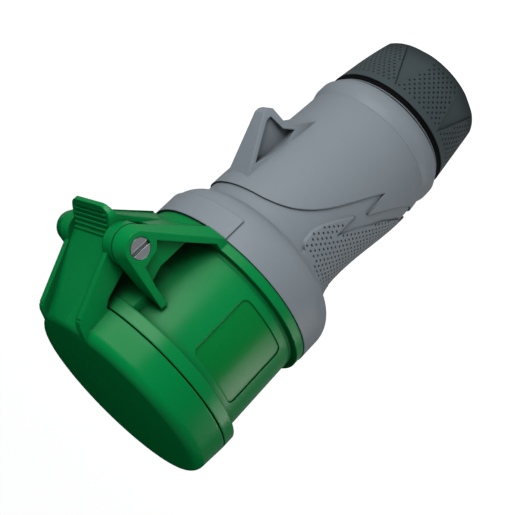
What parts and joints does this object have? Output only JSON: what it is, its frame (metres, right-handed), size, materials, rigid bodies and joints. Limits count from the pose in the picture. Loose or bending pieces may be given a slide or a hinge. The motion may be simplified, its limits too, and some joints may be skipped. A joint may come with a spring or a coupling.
{
  "type": "pin and sleeve connector",
  "caption": "Industrial cable connector with a sprung hinged lid over its sockets, a waisted grip with a hook and a screwed cable gland.",
  "frame": {"origin": "centre of the cable hole, on the end face of the gland nut", "axes": "+Z along the connector from the gland to the lid, +Y towards the lid's hinge, +X along the hinge pin to its head"},
  "size_m": [0.0888, 0.1166, 0.2012],
  "materials": {
    "green_shell": "satin moulded",
    "grey_shell": "satin moulded",
    "nut": "satin, dimpled",
    "dark_plastic": "matt",
    "insert": "matt",
    "black_rubber": "matt",
    "seal_rubber": "matt",
    "brass": "turned",
    "steel": "brushed"
  },
  "bodies": {
    "housing": {"gland_seal": "seal_rubber", "gland_ring": "black_rubber", "thrust_washer": "grey_shell", "rear_housing": "grey_shell", "housing_seal": "seal_rubber", "socket_housing": "green_shell", "socket_barrel": "green_shell", "hinge_pin": "steel", "hinge_clip": "steel", "contact_carrier": "insert", "contact_plate": "insert", "carrier_ring": "dark_plastic", "lid_spring": "steel", "contact_pe": "brass", "contact_ring_pe": "steel", "terminal_screw_pe": "steel", "contact_l1": "brass", "contact_ring_l1": "steel", "terminal_screw_l1": "steel", "contact_l2": "brass", "contact_ring_l2": "steel", "terminal_screw_l2": "steel", "contact_l3": "brass", "contact_ring_l3": "steel", "terminal_screw_l3": "steel", "contact_n": "brass", "contact_ring_n": "steel", "terminal_screw_n": "steel"},
    "lid": {"lid": "green_shell", "lid_gasket": "black_rubber"},
    "clamp": {"clamp_ring": "dark_plastic"},
    "nut": {"gland_nut": "nut"}
  },
  "joints": [
    {"name": "lid_hinge", "type": "hinge", "parent": "housing", "child": "lid", "pos_m": [0, 0.0567, 0.1664], "axis": [-1, 0, 0], "range_deg": [0, 115], "stiffness_Nm_per_rad": 0.08, "springref_deg": -91.67, "deforming": ["lid_spring"]},
    {"name": "clamp_slide", "type": "slide", "parent": "housing", "child": "clamp", "axis": [0, 0, -1], "range_m": [0, 0.006]},
    {"name": "nut_turn", "type": "hinge", "parent": "clamp", "child": "nut", "pos_m": [0, 0, 0], "axis": [0, 0, -1], "range_deg": [0, 720]}
  ],
  "couplings": [
    {"joint": "clamp_slide", "follows": "nut_turn", "m_per_rad": 0.00047746}
  ]
}
